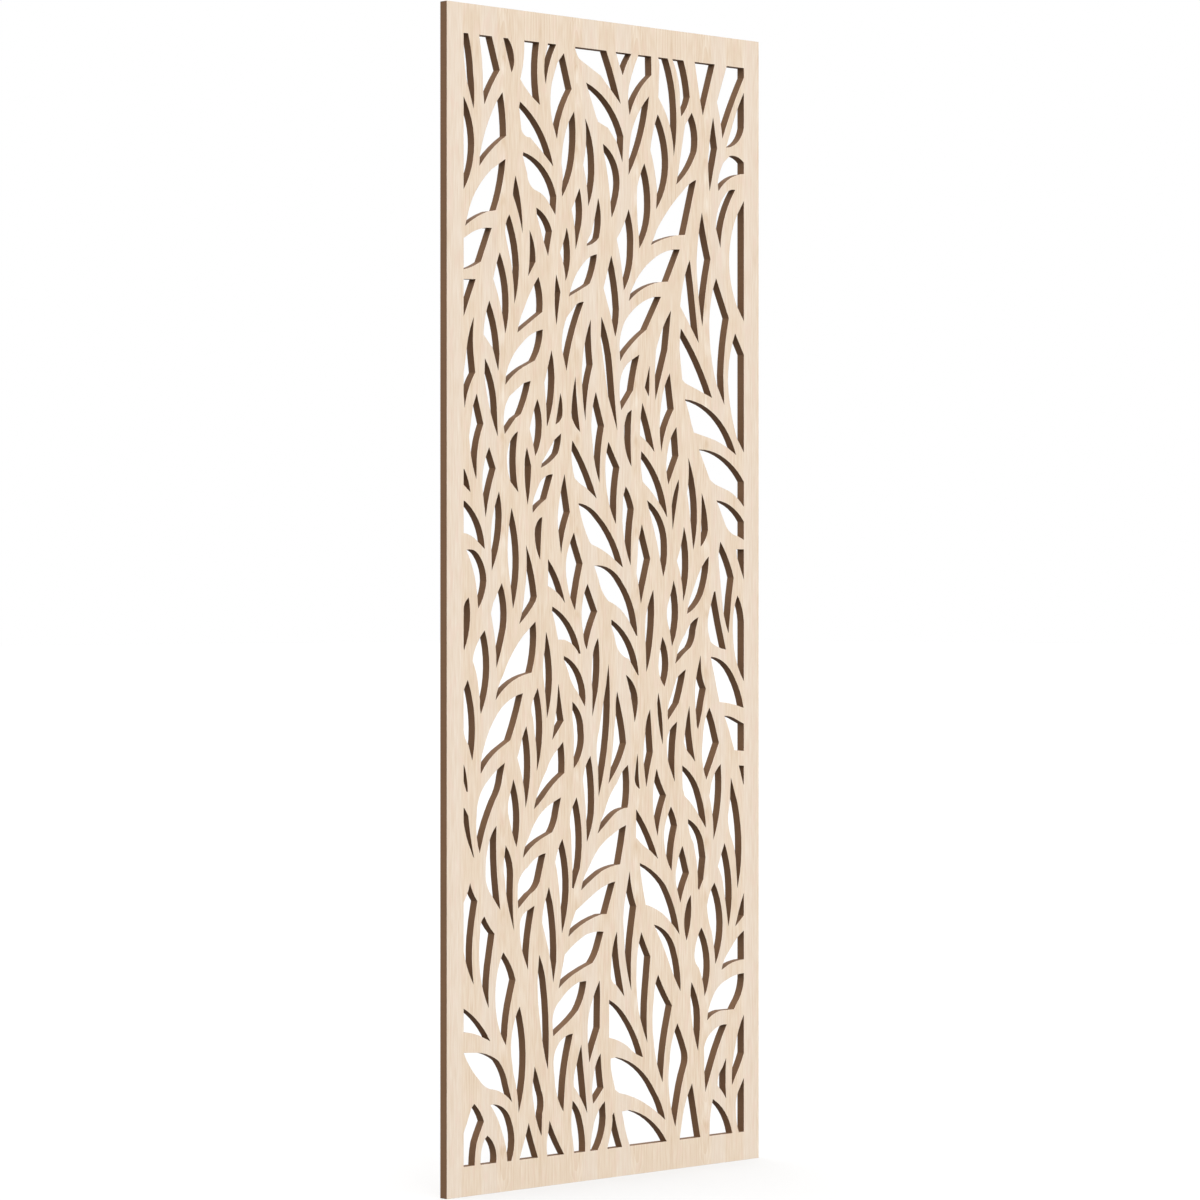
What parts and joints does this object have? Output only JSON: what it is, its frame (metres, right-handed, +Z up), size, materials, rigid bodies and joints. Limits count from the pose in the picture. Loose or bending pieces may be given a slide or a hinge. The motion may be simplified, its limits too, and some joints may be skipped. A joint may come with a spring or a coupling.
{
  "type": "fretwork wood panel",
  "caption": "Flat veneered board cut through with flowing leaf-shaped openings inside a plain border, for a screen, divider, door or wall infill.",
  "frame": {"origin": "middle of the panel's bottom edge, halfway through its thickness", "axes": "+Z up along the length, +X to the right as seen from the front, +Y out of the back face, the front face looks along -Y"},
  "size_m": [0.4414, 0.0096, 1.1779],
  "materials": {
    "board_core": "bare cut edge of brown fibreboard, darkened by the cutting",
    "face_veneer": "pale unfinished hardwood veneer, sanded, matt, book-matched leaves"
  },
  "bodies": {
    "root": {"core_board": "board_core", "front_veneer_leaf_1": "face_veneer", "front_veneer_leaf_2": "face_veneer", "front_veneer_leaf_3": "face_veneer", "front_veneer_leaf_4": "face_veneer", "front_veneer_leaf_5": "face_veneer", "front_veneer_leaf_6": "face_veneer", "back_veneer_leaf_1": "face_veneer", "back_veneer_leaf_2": "face_veneer", "back_veneer_leaf_3": "face_veneer", "back_veneer_leaf_4": "face_veneer", "back_veneer_leaf_5": "face_veneer", "back_veneer_leaf_6": "face_veneer"}
  },
  "joints": []
}
